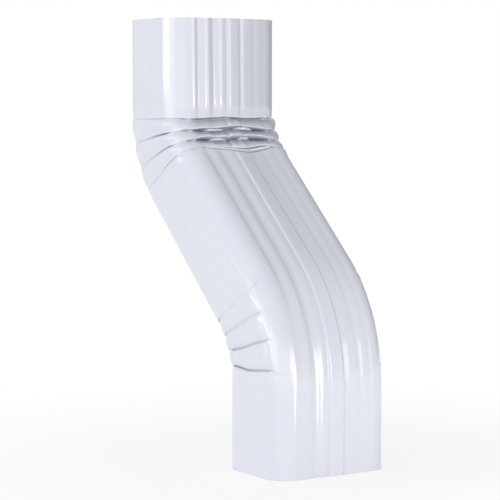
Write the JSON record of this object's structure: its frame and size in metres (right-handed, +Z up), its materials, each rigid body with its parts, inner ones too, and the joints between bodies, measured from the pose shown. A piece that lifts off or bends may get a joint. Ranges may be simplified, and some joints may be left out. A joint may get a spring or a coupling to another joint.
{
  "type": "downpipe offset bend",
  "caption": "Rectangular downpipe offset with a crimped bend above and below a slanted length, folded from one seamed sheet and open at both ends.",
  "frame": {"origin": "centre of the outlet rim, where the bend enters the pipe below it", "axes": "+Z up along the outlet towards the inlet, -Y towards the seamed front wall, +Y the way the inlet is set back, +X across the width"},
  "size_m": [0.0826, 0.1836, 0.2792],
  "materials": {
    "painted_sheet": "gloss white baked paint"
  },
  "bodies": {
    "root": {"offset_bend": "painted_sheet"}
  },
  "joints": []
}
